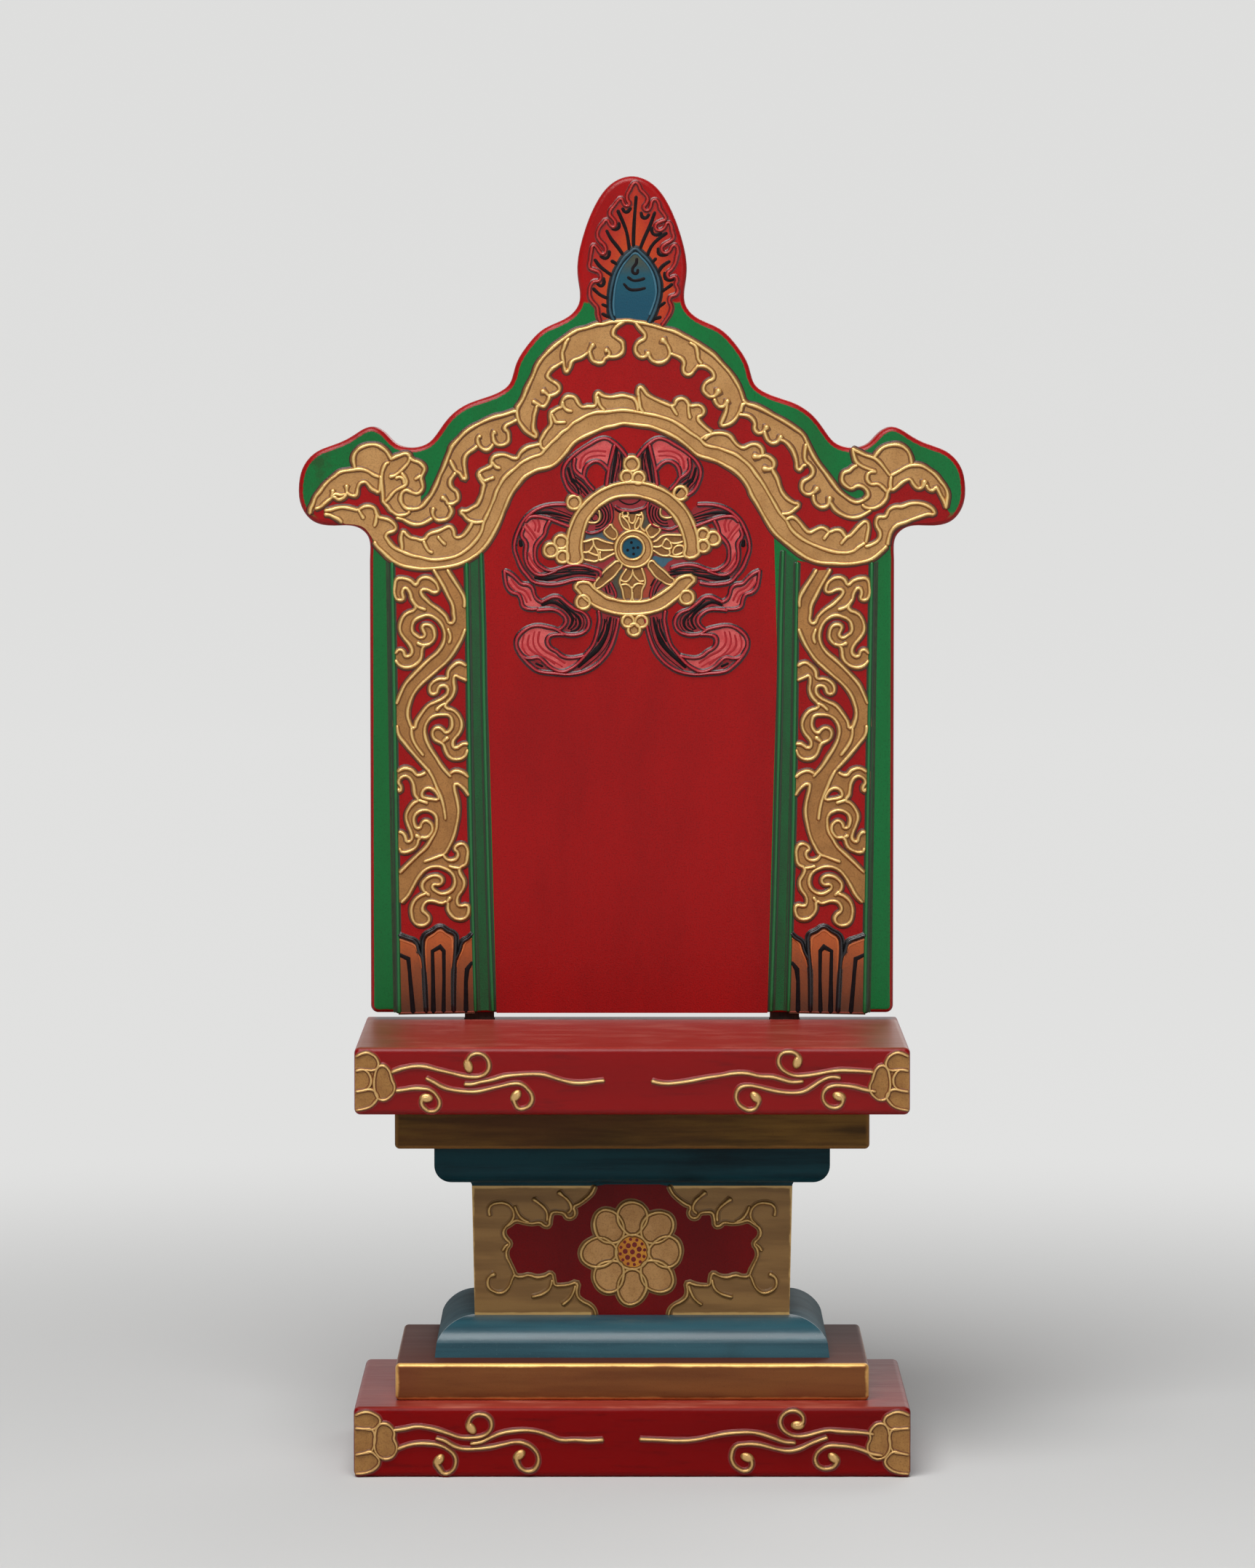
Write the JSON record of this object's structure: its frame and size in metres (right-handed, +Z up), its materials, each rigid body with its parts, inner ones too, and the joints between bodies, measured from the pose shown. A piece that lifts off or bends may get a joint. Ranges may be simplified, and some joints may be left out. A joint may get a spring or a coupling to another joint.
{
  "type": "shrine throne",
  "caption": "Painted wooden shrine throne for a statue: stepped waisted pedestal, flat seat and an arched back board with raised gilt scrollwork that lifts out of the seat.",
  "frame": {"origin": "bottom centre of the base slab, on the surface it stands on", "axes": "+Z up, +Y from the seat's front towards the back board, +X to the right seen from the front"},
  "size_m": [0.2288, 0.106, 0.433],
  "materials": {
    "red_painted_wood": "opaque red paint over wood, satin varnish",
    "bronze_painted_wood": "bronze paint rubbed over red on wood, satin",
    "blue_painted_wood": "opaque teal paint over wood, satin varnish",
    "gilt_painted_wood": "gold paint on wood, satin",
    "bare_wood": "dark unpainted hardwood",
    "gilt_paste": "raised hard paste covered in gold paint",
    "crimson_paste": "raised hard paste painted crimson, pink and black",
    "orange_paste": "raised hard paste painted orange and brown",
    "blue_paste": "raised hard paste painted deep blue",
    "yellow_paste": "raised hard paste painted yellow with red dots"
  },
  "bodies": {
    "pedestal": {"base_slab": "red_painted_wood", "lower_step": "bronze_painted_wood", "lower_moulding": "blue_painted_wood", "waist_block": "gilt_painted_wood", "upper_moulding": "blue_painted_wood", "upper_step": "bronze_painted_wood", "seat_slab": "red_painted_wood", "lower_dowels": "bare_wood", "upper_dowels": "bare_wood", "left_base_flower": "gilt_paste", "left_base_tendrils": "gilt_paste", "left_seat_flower": "gilt_paste", "left_seat_tendrils": "gilt_paste", "left_waist_panel": "gilt_paste", "right_base_flower": "gilt_paste", "right_base_tendrils": "gilt_paste", "right_seat_flower": "gilt_paste", "right_seat_tendrils": "gilt_paste", "right_waist_panel": "gilt_paste", "waist_flower_petals": "gilt_paste", "waist_flower_centre": "yellow_paste"},
    "backrest": {"back_board": "red_painted_wood", "left_tenon": "bare_wood", "right_tenon": "bare_wood", "arch_band": "gilt_paste", "left_crown_leaf": "gilt_paste", "right_crown_leaf": "gilt_paste", "left_shoulder_vine": "gilt_paste", "right_shoulder_vine": "gilt_paste", "left_pillar_scroll": "gilt_paste", "right_pillar_scroll": "gilt_paste", "left_pillar_petals": "orange_paste", "right_pillar_petals": "orange_paste", "left_ribbon": "crimson_paste", "right_ribbon": "crimson_paste", "wheel_rim": "gilt_paste", "wheel_hub": "gilt_paste", "hub_boss": "blue_paste", "wheel_spokes": "gilt_paste", "wheel_studs": "gilt_paste", "wheel_tips": "gilt_paste", "finial_flame": "crimson_paste", "finial_jewel": "blue_paste"}
  },
  "joints": [
    {"name": "backrest_lift", "type": "slide", "parent": "pedestal", "child": "backrest", "axis": [0, 0, 1], "range_m": [0, 0.03]}
  ]
}
